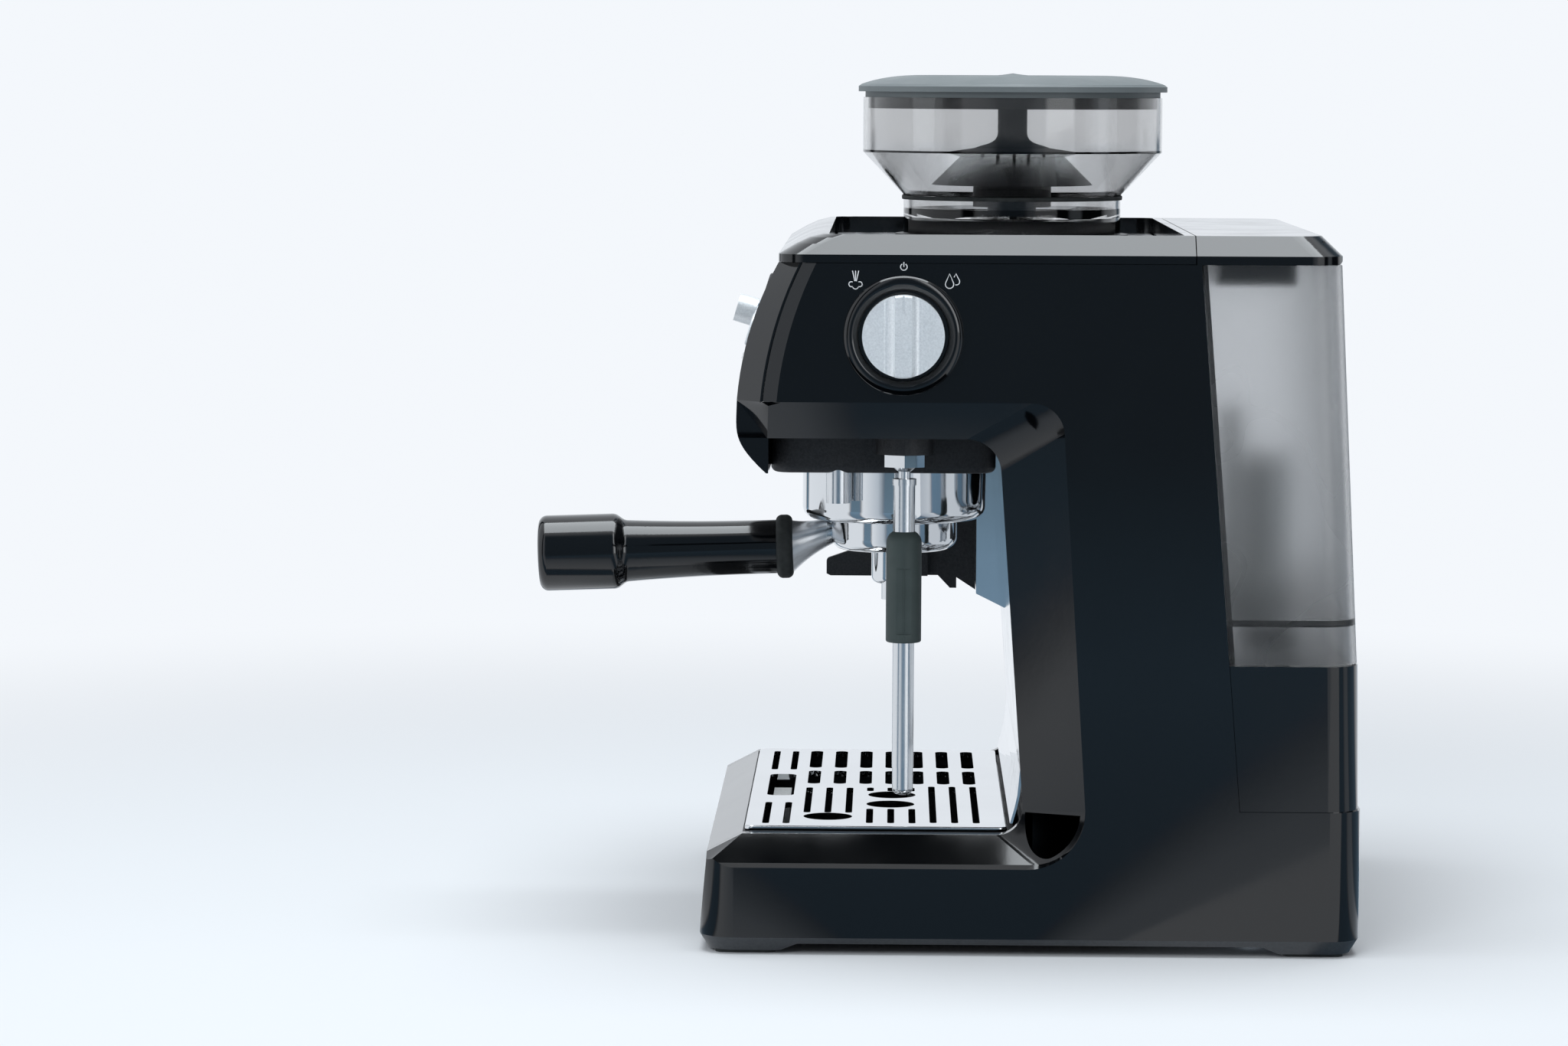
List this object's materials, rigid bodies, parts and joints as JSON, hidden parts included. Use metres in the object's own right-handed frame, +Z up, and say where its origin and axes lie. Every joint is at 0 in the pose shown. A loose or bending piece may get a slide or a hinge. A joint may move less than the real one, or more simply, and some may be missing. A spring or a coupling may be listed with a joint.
{
  "type": "manual coffee maker",
  "caption": "Home espresso machine with a bean grinder and hopper, portafilter and handle, steam wand, drip tray, side dials and a lift-out rear water tank.",
  "frame": {"origin": "centre of the overall bounding box, on the surface that the rubber feet stand on", "axes": "+Z up; -Y towards the front, where the portafilter handle points; +X towards the machine's right side, with the steam dial and the wand"},
  "size_m": [0.3544, 0.3876, 0.4065],
  "materials": {
    "black_gloss": "high gloss",
    "black_matte": "fine matt texture",
    "inner_plastic": "satin",
    "polished_steel": "polished",
    "brushed_steel": "brushed",
    "satin_aluminium": "satin, fine bead blast",
    "cast_aluminium": "cast",
    "burr_steel": "ground",
    "brass_block": "machined",
    "rubber_black": "matt",
    "smoke_clear": "clear, smoke tint",
    "tank_clear": "clear, grey tint",
    "gauge_face": "satin",
    "needle_paint": "satin",
    "clear_glass": "clear",
    "board_green": "satin",
    "filter_white": "satin",
    "hose_white": "satin"
  },
  "bodies": {
    "machine": {"base_housing": "black_gloss", "foot_frame": "black_matte", "rubber_feet": "rubber_black", "screws": "burr_steel", "side_panel_right": "black_gloss", "side_panel_left": "black_gloss", "front_fascia": "black_gloss", "lower_fascia": "black_gloss", "head_underplate": "black_matte", "top_cover": "black_gloss", "cup_warmer_plate": "brushed_steel", "backsplash": "polished_steel", "rear_housing": "black_gloss", "chassis": "brushed_steel", "grinder_housing": "cast_aluminium", "grinder_motor": "cast_aluminium", "grinding_cradle": "black_matte", "water_pump": "inner_plastic", "heater": "cast_aluminium", "group_head": "brass_block", "group_collar": "polished_steel", "group_gasket": "rubber_black", "shower_screen": "brushed_steel", "hot_water_spout": "polished_steel", "dial_bezels": "black_gloss", "gauge_body": "polished_steel", "gauge_glass": "clear_glass", "control_board": "board_green", "hoses": "hose_white"},
    "burr_carrier": {"upper_burr": "burr_steel"},
    "grinder_burr": {"lower_burr": "burr_steel"},
    "switch_plunger": {"cradle_switch": "inner_plastic"},
    "swivel_nut": {"wand_nut": "polished_steel"},
    "wand": {"steam_wand": "polished_steel", "wand_grip": "rubber_black", "steam_tip": "polished_steel"},
    "steam_knob": {"steam_dial": "satin_aluminium"},
    "grind_knob": {"grind_dial": "satin_aluminium"},
    "amount_knob": {"grind_amount_knob": "satin_aluminium"},
    "power_key": {"power_button": "satin_aluminium"},
    "filter_key": {"filter_button": "satin_aluminium"},
    "program_key": {"program_button": "satin_aluminium"},
    "one_cup_key": {"one_cup_button": "satin_aluminium"},
    "two_cup_key": {"two_cup_button": "satin_aluminium"},
    "needle": {"gauge_needle": "needle_paint"},
    "portafilter": {"portafilter_bowl": "polished_steel", "filter_basket": "brushed_steel", "portafilter_spout": "polished_steel", "handle": "black_matte", "handle_ring": "rubber_black"},
    "hopper": {"hopper_bowl": "smoke_clear"},
    "lid_of_hopper": {"hopper_lid": "black_matte"},
    "stem_of_hopper": {"hopper_stem": "black_matte"},
    "tank": {"water_tank": "tank_clear", "tank_filter": "filter_white"},
    "lid_of_tank": {"tank_lid": "black_gloss"},
    "tray": {"drip_tray": "black_matte", "tray_front": "black_gloss"},
    "grate": {"drip_grate": "brushed_steel"},
    "float": {"tray_float": "inner_plastic"}
  },
  "joints": [
    {"name": "portafilter_turn", "type": "hinge", "parent": "machine", "child": "portafilter", "pos_m": [0.044, -0.0225, 0.2], "axis": [0, 0, -1], "range_deg": [0, 45]},
    {"name": "wand_swing", "type": "hinge", "parent": "machine", "child": "swivel_nut", "pos_m": [0.115, -0.0178, 0.2265], "axis": [0, 0, 1], "range_deg": [-75, 20]},
    {"name": "wand_tilt", "type": "hinge", "parent": "swivel_nut", "child": "wand", "pos_m": [0.115, -0.0178, 0.2265], "axis": [0, -1, 0], "range_deg": [-5, 25]},
    {"name": "steam_dial_turn", "type": "hinge", "parent": "machine", "child": "steam_knob", "pos_m": [0.159, -0.0188, 0.2868], "axis": [1, 0, 0], "range_deg": [-42, 42]},
    {"name": "grind_dial_turn", "type": "hinge", "parent": "machine", "child": "grind_knob", "pos_m": [-0.159, -0.0188, 0.2868], "axis": [-1, 0, 0], "range_deg": [-120, 120]},
    {"name": "burr_adjust", "type": "hinge", "parent": "machine", "child": "burr_carrier", "pos_m": [-0.055, 0.0353, 0.308], "axis": [0, 0, 1], "range_deg": [-31, 31]},
    {"name": "grind_amount_turn", "type": "hinge", "parent": "machine", "child": "amount_knob", "pos_m": [-0.06201, -0.08998, 0.28584], "axis": [0, -0.9576, 0.288], "range_deg": [-130, 130]},
    {"name": "power_press", "type": "slide", "parent": "machine", "child": "power_key", "axis": [0, 0.9576, -0.288], "range_m": [0, 0.0015], "stiffness_N_per_m": 400, "springref_m": -0.0005},
    {"name": "filter_press", "type": "slide", "parent": "machine", "child": "filter_key", "axis": [0, 0.9576, -0.288], "range_m": [0, 0.0015], "stiffness_N_per_m": 400, "springref_m": -0.0005},
    {"name": "program_press", "type": "slide", "parent": "machine", "child": "program_key", "axis": [0, 0.9576, -0.288], "range_m": [0, 0.0015], "stiffness_N_per_m": 400, "springref_m": -0.0005},
    {"name": "one_cup_press", "type": "slide", "parent": "machine", "child": "one_cup_key", "axis": [0, 0.9576, -0.288], "range_m": [0, 0.0015], "stiffness_N_per_m": 400, "springref_m": -0.0005},
    {"name": "two_cup_press", "type": "slide", "parent": "machine", "child": "two_cup_key", "axis": [0, 0.9576, -0.288], "range_m": [0, 0.0015], "stiffness_N_per_m": 400, "springref_m": -0.0005},
    {"name": "cradle_switch_press", "type": "slide", "parent": "machine", "child": "switch_plunger", "axis": [0, 1, 0], "range_m": [0, 0.003], "stiffness_N_per_m": 200, "springref_m": -0.001},
    {"name": "gauge_needle_turn", "type": "hinge", "parent": "machine", "child": "needle", "pos_m": [0, -0.0894, 0.28775], "axis": [0, 0.9576, -0.288], "range_deg": [0, 210], "stiffness_Nm_per_rad": 0.0005, "springref_deg": -5.73},
    {"name": "grinder_burr_spin", "type": "hinge", "parent": "machine", "child": "grinder_burr", "pos_m": [-0.055, 0.0353, 0.3], "axis": [0, 0, 1], "continuous": true},
    {"name": "hopper_lift", "type": "slide", "parent": "machine", "child": "hopper", "axis": [0, 0, 1], "range_m": [0, 0.05]},
    {"name": "hopper_lid_lift", "type": "slide", "parent": "hopper", "child": "lid_of_hopper", "axis": [0, 0, 1], "range_m": [0, 0.03]},
    {"name": "hopper_stem_turn", "type": "hinge", "parent": "hopper", "child": "stem_of_hopper", "pos_m": [-0.055, 0.0353, 0.35], "axis": [0, 0, 1], "range_deg": [0, 90]},
    {"name": "tank_lift", "type": "slide", "parent": "machine", "child": "tank", "axis": [0, 0, 1], "range_m": [0, 0.2]},
    {"name": "tank_lid_open", "type": "hinge", "parent": "tank", "child": "lid_of_tank", "pos_m": [0, 0.1793, 0.3225], "axis": [-1, 0, 0], "range_deg": [0, 80]},
    {"name": "tray_slide", "type": "slide", "parent": "machine", "child": "tray", "axis": [0, -1, 0], "range_m": [0, 0.16]},
    {"name": "grate_lift", "type": "slide", "parent": "tray", "child": "grate", "axis": [0, 0, 1], "range_m": [0, 0.01]},
    {"name": "float_rise", "type": "slide", "parent": "tray", "child": "float", "axis": [0, 0, 1], "range_m": [0, 0.014]}
  ],
  "couplings": [
    {"joint": "burr_adjust", "follows": "grind_dial_turn", "ratio": 0.25}
  ]
}
